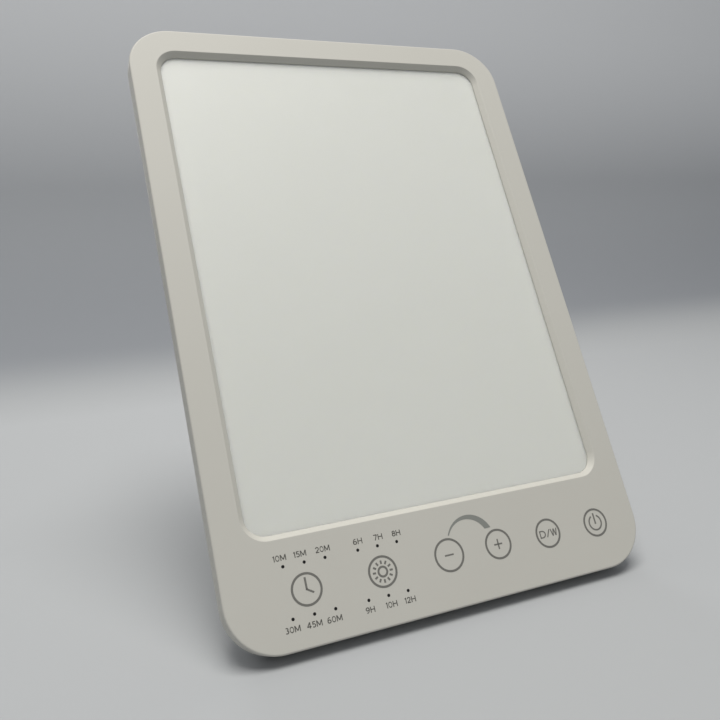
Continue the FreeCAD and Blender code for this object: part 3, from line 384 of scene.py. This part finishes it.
# %% [markdown]
# Between minus and plus a pale band swells from a thin end to a broad one, to show more light. Its
# two edges are arcs of circles: a single vertex is spun along each, the two chains are bridged, and
# the band gets its thickness by extrusion.
# %% The swelling band
def circle_through(a, b, c):
    """Middle of the circle through three points, and the angles at which the first and last lie."""
    double_area = 2 * ((b.x - a.x) * (c.y - a.y) - (b.y - a.y) * (c.x - a.x))
    p, q = (b - a).length_squared, (c - a).length_squared
    right = (c.y - a.y) * p - (b.y - a.y) * q
    up = (b.x - a.x) * q - (c.x - a.x) * p
    middle = a + Vector((right, up, 0)) / double_area
    return middle, math.atan2(a.y - middle.y, a.x - middle.x), math.atan2(c.y - middle.y, c.x - middle.x)


BAND_STEPS = 48
BAND_EDGES = [
    ((81.98, 24.6), (90.05, 30.24), (99.6, 24.24)),
    ((82.4, 24.45), (89.9, 28.84), (97.1, 24.14)),
]
band = bmesh.new()
chains = []
for thin_end, through, broad_end in BAND_EDGES:
    middle, first, last = circle_through(from_left(*thin_end), from_left(*through), from_left(*broad_end))
    start = band.verts.new(from_left(*thin_end))
    before = set(band.edges)
    bmesh.ops.spin(band, geom=[start], cent=middle, axis=(0, 0, 1), angle=last - first, steps=BAND_STEPS)
    chains += [edge for edge in band.edges if edge not in before]
bmesh.ops.bridge_loops(band, edges=chains)
bmesh.ops.translate(band, verts=band.verts, vec=(0, 0, INK_FOOT))
risen = bmesh.ops.extrude_face_region(band, geom=band.faces[:])
top = [v for v in risen["geom"] if isinstance(v, bmesh.types.BMVert)]
bmesh.ops.translate(band, verts=top, vec=(0, 0, INK_TOP - INK_FOOT))
band_piece = place_piece(band, "brightness_band", pale_ink)

# %% [markdown]
# The dots have small labels for minutes and hours, and one key has letters for daylight and warm
# light. They are set in a light geometric sans serif, whose letters are all straight strokes and
# parts of ovals, so they are drawn with the same strokes as the symbols. Each letter is a width and a
# list of strokes for capitals 1.9 mm high. Four numbers are the ends of a bar. Six are the middle,
# the half width and half height of an oval's middle line, and its start and sweep in degrees.
# %% The alphabet
CAPITAL = 1.9
ALPHABET = {
    "0": (1.42, [(0.71, 0.95, 0.58, 0.82, 0, 360)]),
    "1": (0.50, [(0.36, 0, 0.36, 1.9), (0.04, 1.46, 0.3, 1.78)]),
    "2": (1.30, [(0.64, 1.28, 0.5, 0.49, -35, 205), (1.06, 1.02, 0.12, 0.14), (0.05, 0.13, 1.27, 0.13)]),
    "3": (1.22, [(0.56, 1.38, 0.4, 0.39, -90, 225), (0.56, 0.56, 0.5, 0.43, -140, 230)]),
    "4": (1.42, [(0.98, 1.84, 0.1, 0.5), (0.04, 0.52, 1.38, 0.52), (1.0, 0, 1.0, 1.9)]),
    "5": (1.24, [(0.3, 1.77, 1.12, 1.77), (0.32, 1.84, 0.23, 0.98), (0.6, 0.62, 0.5, 0.49, -145, 280)]),
    "6": (1.32, [(0.66, 0.6, 0.52, 0.47, 0, 360), (0.84, 0.78, 0.7, 0.99, 75, 112)]),
    "7": (1.28, [(0.05, 1.77, 1.25, 1.77), (1.18, 1.77, 0.45, 0)]),
    "8": (1.32, [(0.66, 1.4, 0.42, 0.37, 0, 360), (0.66, 0.57, 0.52, 0.44, 0, 360)]),
    "9": (1.32, [(0.66, 1.3, 0.52, 0.47, 0, 360), (0.48, 1.12, 0.7, 0.99, 255, 112)]),
    "H": (1.58, [(0.13, 0, 0.13, 1.9), (1.45, 0, 1.45, 1.9), (0.13, 1.0, 1.45, 1.0)]),
    "M": (1.90, [(0.13, 0, 0.13, 1.9), (1.77, 0, 1.77, 1.9), (0.16, 1.84, 0.95, 0.3),
                 (0.95, 0.3, 1.74, 1.84)]),
    "D": (1.90, [(0.13, 0, 0.13, 1.9), (0.0, 1.77, 0.8, 1.77), (0.0, 0.13, 0.8, 0.13),
                 (0.8, 0.95, 0.95, 0.82, -90, 180)]),
    "/": (1.20, [(0.08, 0, 1.12, 1.9)]),
    "W": (2.05, [(0.06, 1.9, 0.55, 0.06), (0.55, 0.06, 1.02, 1.84), (1.02, 1.84, 1.5, 0.06),
                 (1.5, 0.06, 1.99, 1.9)]),
}
LETTER_GAP = 0.26
OVAL_STEPS = 28


def word(mesh, text, left, right, low, high, width):
    """Draws a word whose letters fill a box on the panel, in strokes of the given width."""
    natural = sum(ALPHABET[letter][0] for letter in text) + LETTER_GAP * (len(text) - 1)
    wide, tall = (right - left) / natural, (high - low) / CAPITAL
    for letter in text:
        advance, strokes = ALPHABET[letter]
        for stroke in strokes:
            x, y = left + stroke[0] * wide, low + stroke[1] * tall
            if len(stroke) == 4:
                bar(mesh, (x, y), (left + stroke[2] * wide, low + stroke[3] * tall), width)
            else:
                half_width, half_height, start, sweep = stroke[2:]
                before = set(mesh.verts)
                arc_stroke(mesh, x, y, half_height * tall, width, start, sweep, OVAL_STEPS)
                spun = [vert for vert in mesh.verts if vert not in before]
                squeeze = (half_width * wide) / (half_height * tall)
                bmesh.ops.scale(mesh, vec=(squeeze, 1, 1), verts=spun,
                                space=Matrix.Translation(-from_left(x, y)))
        left += (advance + LETTER_GAP) * wide


print("letters", len(ALPHABET))

# %% [markdown]
# The words take the places and widths that they have on the face.
# %% Letters
UPPER_LABELS = [
    ("10M", 18.5, 22.9), ("15M", 25.55, 29.8), ("20M", 33.1, 38.1),
    ("6H", 46.6, 49.95), ("7H", 54.2, 57.5), ("8H", 61.15, 64.3),
]
LOWER_LABELS = [
    ("30M", 18.1, 23.15), ("45M", 25.35, 30.55), ("60M", 32.3, 37.45),
    ("9H", 45.9, 49.15), ("10H", 53.3, 57.4), ("12H", 60.3, 64.3),
]
UPPER_LINE, LOWER_LINE, LABEL_STROKE = 28.3, 5.95, 0.31
labels = bmesh.new()
for row, low in ((UPPER_LABELS, UPPER_LINE), (LOWER_LABELS, LOWER_LINE)):
    for text, left, right in row:
        word(labels, text, left, right, low, low + CAPITAL, LABEL_STROKE)
labels_piece = place_piece(labels, "timer_labels", label_ink)
TONE_BOX, TONE_STROKE = (119.15, 126.8, 16.15, 18.85), 0.44  # left, right, low, high
letters = bmesh.new()
word(letters, "D/W", *TONE_BOX, TONE_STROKE)
letters_piece = place_piece(letters, "tone_letters", ink)

# %% [markdown]
# ## Lights and the table
# A large soft lamp hangs above, a little in front and to the left, as a ceiling light does. Under it
# the face, which leans back, grows darker towards the table, the lower bevel of the window is bright
# and the upper one is in shade. The world adds the light that comes back from the room, and a weak
# lamp behind picks out the rounded rear edges.
# %% World and lamps
ROOM_LIGHT = 0.36
CEILING_WATTS, BACK_WATTS = 18.5, 3.7
scene.view_settings.view_transform = "Standard"
world = bpy.data.worlds.new("room")
scene.world = world
world.use_nodes = True
sky = world.node_tree.nodes["Background"]
sky.inputs["Color"].default_value = linear("#E2E5EA")
sky.inputs["Strength"].default_value = ROOM_LIGHT


def area_lamp(name, place, aim, size, watts, colour="#FFFFFF"):
    """A square soft lamp at a place, pointing at another."""
    data = bpy.data.lights.new(name, "AREA")
    data.shape = "SQUARE"
    data.size = size
    data.energy = watts
    data.color = linear(colour)[:3]
    lamp = bpy.data.objects.new(name, data)
    scene.collection.objects.link(lamp)
    turn = (Vector(aim) - Vector(place)).to_track_quat("-Z", "Y").to_matrix().to_4x4()
    lamp.matrix_world = Matrix.Translation(place) @ turn


area_lamp("ceiling_lamp", (-0.08, -0.10, 1.4), (0, 0, 0.1), 0.8, CEILING_WATTS, "#FFFDF8")
area_lamp("back_fill", (0.0, 1.1, 0.3), (0, 0.02, 0.1), 0.5, BACK_WATTS)

# %% [markdown]
# The lamp stands on a sweep of grey paper. It is one line, drawn along the floor, round a bend and
# up the wall, and extruded sideways. The floor is pale; on the wall behind it shade is painted into
# the colour: darkest a little above the bend and paler upwards, for the light that falls off low on
# the wall, so the lamp's bright edges stand out against it. The paper casts no shadow, so the weak
# lamp behind it shines through.
# %% Paper sweep
HALF_SWEEP, FLOOR_FRONT, WALL, BEND, WALL_TOP = 2.5, -2.5, 0.40, 0.15, 0.9  # metres
BEND_STEPS = 16
RAMP_TOP = 0.30  # metres above the floor
DARKEST = 0.10  # of the way up the ramp
sweep_mesh = bmesh.new()
front = sweep_mesh.verts.new((-HALF_SWEEP, FLOOR_FRONT, 0))
foot = sweep_mesh.verts.new((-HALF_SWEEP, WALL - BEND, 0))
sweep_mesh.edges.new((front, foot))
bent = bmesh.ops.spin(sweep_mesh, geom=[foot], cent=(-HALF_SWEEP, WALL - BEND, BEND), axis=(1, 0, 0),
                      angle=math.pi / 2, steps=BEND_STEPS)
last = [v for v in bent["geom_last"] if isinstance(v, bmesh.types.BMVert)][0]
head = sweep_mesh.verts.new((-HALF_SWEEP, WALL, WALL_TOP))
sweep_mesh.edges.new((last, head))
wide = bmesh.ops.extrude_edge_only(sweep_mesh, edges=sweep_mesh.edges[:])
moved = [v for v in wide["geom"] if isinstance(v, bmesh.types.BMVert)]
bmesh.ops.translate(sweep_mesh, verts=moved, vec=(2 * HALF_SWEEP, 0, 0))
bmesh.ops.recalc_face_normals(sweep_mesh, faces=sweep_mesh.faces)
sweep_data = bpy.data.meshes.new("paper_sweep")
sweep_mesh.to_mesh(sweep_data)
sweep_mesh.free()
sweep_data.polygons.foreach_set("use_smooth", [True] * len(sweep_data.polygons))
sweep = bpy.data.objects.new("paper_sweep", sweep_data)
scene.collection.objects.link(sweep)
paper, paper_shader = new_material("backdrop_paper_painted_shade", Roughness=0.95)
paper_where = add(paper, "TexCoord").outputs["Object"]
height = add(paper, "SeparateXYZ", Vector=paper_where).outputs["Z"]
share = add(paper, "MapRange", Value=height, From_Max=RAMP_TOP)
# Painted shade: the paper's colour is darkest a little above the floor and grows paler up the wall.
painted_shade_ramp = add(paper, "ValToRGB", Fac=share.outputs["Result"])
painted_shade_ramp.color_ramp.interpolation = "EASE"
painted_shade_ramp.color_ramp.elements[0].color = linear("#A9ABAD")
painted_shade_ramp.color_ramp.elements[1].color = linear("#C8CACD")
darker = painted_shade_ramp.color_ramp.elements.new(DARKEST)
darker.color = linear("#8B8E93")
wire(paper, painted_shade_ramp.outputs["Color"], paper_shader.inputs["Base Color"])
sweep_data.materials.append(paper)
sweep.visible_shadow = False
print("sweep faces", len(sweep_data.polygons))
